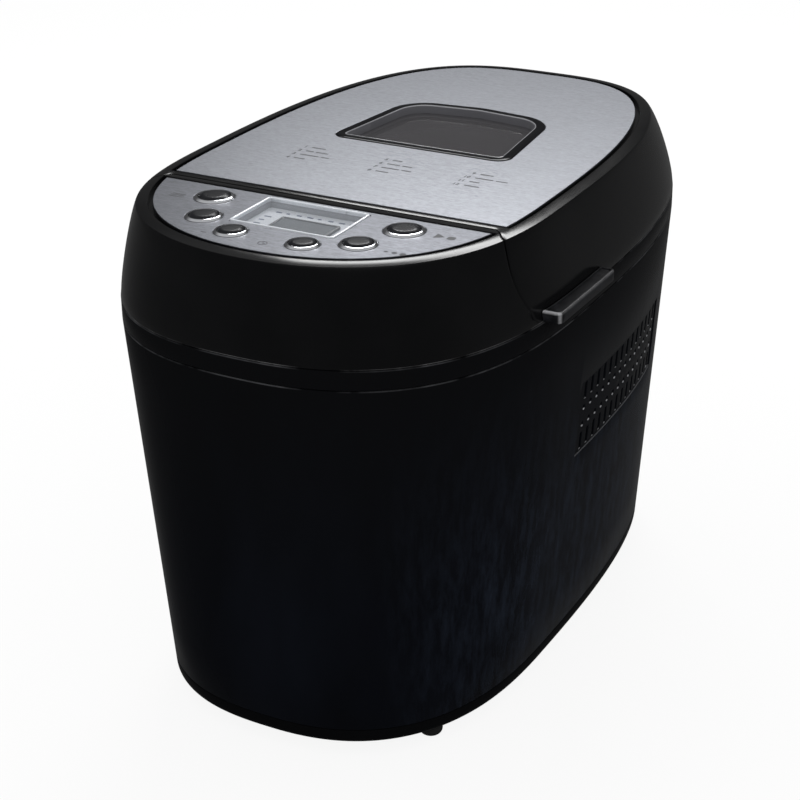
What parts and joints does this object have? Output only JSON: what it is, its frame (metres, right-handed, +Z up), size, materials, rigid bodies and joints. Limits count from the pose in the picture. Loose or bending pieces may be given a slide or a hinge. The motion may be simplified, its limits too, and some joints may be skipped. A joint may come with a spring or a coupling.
{
  "type": "bread machine",
  "caption": "Domestic bread machine with a tapered oval case, a hinged lid with a window, a button panel, and a belt-driven kneading pan inside",
  "frame": {"origin": "on the floor, under the middle of the whole machine's bounding box, with its side grip and rear hinge counted", "axes": "+X to the right of someone facing the control panel, -Y the control panel's end, +Y the hinge end, +Z up"},
  "size_m": [0.2462, 0.3958, 0.2831],
  "materials": {
    "case_gloss_black": "deep gloss black moulding with a faint blue tint",
    "lid_black": "gloss black moulding",
    "base_black": "black moulding with a fine texture",
    "vent_black": "black moulded grille",
    "steel_plate": "stainless steel brushed across the machine",
    "window_black": "high gloss black frame",
    "window_clear": "clear toughened glass",
    "grip_grey": "grey satin moulding",
    "button_black": "satin black cap",
    "button_chrome": "bright plated ring",
    "lens_clear": "clear polished lens",
    "display_grey": "grey moulded well",
    "display_white": "white printed card",
    "display_lcd": "grey green liquid crystal glass",
    "board_green": "green circuit board",
    "switch_black": "small black switch bodies",
    "liner_metal": "satin aluminium sheet",
    "oven_metal": "aluminised sheet",
    "seal_rubber": "dark silicone seal",
    "foot_rubber": "black rubber",
    "hinge_black": "black glass-filled nylon",
    "pin_steel": "ground steel pin and shafts",
    "screw_steel": "zinc plated screws",
    "element_steel": "heat-darkened steel sheath",
    "pan_coating": "dark non-stick coating",
    "cast_metal": "die-cast aluminium",
    "bush_bronze": "sintered bronze bush",
    "pulley_nylon": "natural nylon pulley",
    "belt_rubber": "black drive belt",
    "motor_steel": "grey painted motor can",
    "fan_plastic": "dark moulded fan",
    "chassis_steel": "galvanised steel sheet",
    "capacitor_white": "white capacitor case",
    "inlet_black": "black cord bush"
  },
  "bodies": {
    "base": {"body_shell": "case_gloss_black", "vent_grille_right": "vent_black", "vent_grille_left": "vent_black", "base_tray": "base_black", "rubber_feet": "foot_rubber", "top_deck": "lid_black", "control_housing": "lid_black", "control_plate": "steel_plate", "button_rings": "button_chrome", "display_lens": "lens_clear", "display_frame": "display_grey", "display_card": "display_white", "display_glass": "display_lcd", "control_board": "board_green", "tact_switches": "switch_black", "hinge_bracket": "hinge_black", "hinge_pin": "pin_steel", "oven_chamber": "oven_metal", "heating_element": "element_steel", "element_clips": "chassis_steel", "temperature_sensor": "pin_steel", "bread_pan": "pan_coating", "pan_base": "cast_metal", "pan_clips": "chassis_steel", "pan_bearing": "bush_bronze", "drive_bearing": "cast_metal", "drive_belt": "belt_rubber", "motor": "motor_steel", "chassis_plate": "chassis_steel", "motor_capacitor": "capacitor_white", "power_board": "board_green", "cord_inlet": "inlet_black", "case_screws": "screw_steel", "board_screws": "screw_steel", "chassis_screws": "screw_steel"},
    "lid": {"lid_shell": "lid_black", "lid_plate": "steel_plate", "window_frame": "window_black", "window_glass": "window_clear", "lid_liner": "liner_metal", "inner_glass": "window_clear", "lid_seal": "seal_rubber", "lid_grip": "grip_grey", "lid_hinge_knuckle": "hinge_black", "lid_screws": "screw_steel"},
    "menu_button_body": {"menu_button": "button_black"},
    "loaf_button_body": {"loaf_button": "button_black"},
    "timer_down_button_body": {"timer_down_button": "button_black"},
    "timer_up_button_body": {"timer_up_button": "button_black"},
    "colour_button_body": {"colour_button": "button_black"},
    "start_stop_button_body": {"start_stop_button": "button_black"},
    "drive": {"drive_coupling": "cast_metal", "drive_shaft": "pin_steel", "large_pulley": "pulley_nylon"},
    "paddle": {"pan_shaft": "pin_steel", "kneading_paddle": "pan_coating"},
    "rotor": {"motor_pulley": "cast_metal", "motor_shaft": "pin_steel", "motor_fan": "fan_plastic"},
    "bail": {"pan_bail": "pin_steel"}
  },
  "joints": [
    {"name": "lid_hinge", "type": "hinge", "parent": "base", "child": "lid", "pos_m": [-0.00415, 0.1929, 0.232], "axis": [-1, 0, 0], "range_deg": [0, 80]},
    {"name": "menu_press", "type": "slide", "parent": "base", "child": "menu_button_body", "axis": [0, 0, -1], "range_m": [0, 0.001], "stiffness_N_per_m": 1500, "springref_m": -0.001},
    {"name": "loaf_press", "type": "slide", "parent": "base", "child": "loaf_button_body", "axis": [0, 0, -1], "range_m": [0, 0.001], "stiffness_N_per_m": 1500, "springref_m": -0.001},
    {"name": "timer_down_press", "type": "slide", "parent": "base", "child": "timer_down_button_body", "axis": [0, 0, -1], "range_m": [0, 0.001], "stiffness_N_per_m": 1500, "springref_m": -0.001},
    {"name": "timer_up_press", "type": "slide", "parent": "base", "child": "timer_up_button_body", "axis": [0, 0, -1], "range_m": [0, 0.001], "stiffness_N_per_m": 1500, "springref_m": -0.001},
    {"name": "colour_press", "type": "slide", "parent": "base", "child": "colour_button_body", "axis": [0, 0, -1], "range_m": [0, 0.001], "stiffness_N_per_m": 1500, "springref_m": -0.001},
    {"name": "start_stop_press", "type": "slide", "parent": "base", "child": "start_stop_button_body", "axis": [0, 0, -1], "range_m": [0, 0.001], "stiffness_N_per_m": 1500, "springref_m": -0.001},
    {"name": "drive_spin", "type": "hinge", "parent": "base", "child": "drive", "pos_m": [-0.00415, 0.0304, 0.06], "axis": [0, 0, 1], "continuous": true},
    {"name": "paddle_spin", "type": "hinge", "parent": "base", "child": "paddle", "pos_m": [-0.00415, 0.0304, 0.09], "axis": [0, 0, 1], "continuous": true},
    {"name": "motor_spin", "type": "hinge", "parent": "base", "child": "rotor", "pos_m": [-0.00415, -0.1336, 0.06], "axis": [0, 0, 1], "continuous": true},
    {"name": "bail_swing", "type": "hinge", "parent": "base", "child": "bail", "pos_m": [-0.00415, 0.0304, 0.2072], "axis": [0, -1, 0], "range_deg": [0, 20]}
  ],
  "couplings": [
    {"joint": "paddle_spin", "follows": "drive_spin", "ratio": 1},
    {"joint": "motor_spin", "follows": "drive_spin", "ratio": 4.3745}
  ]
}
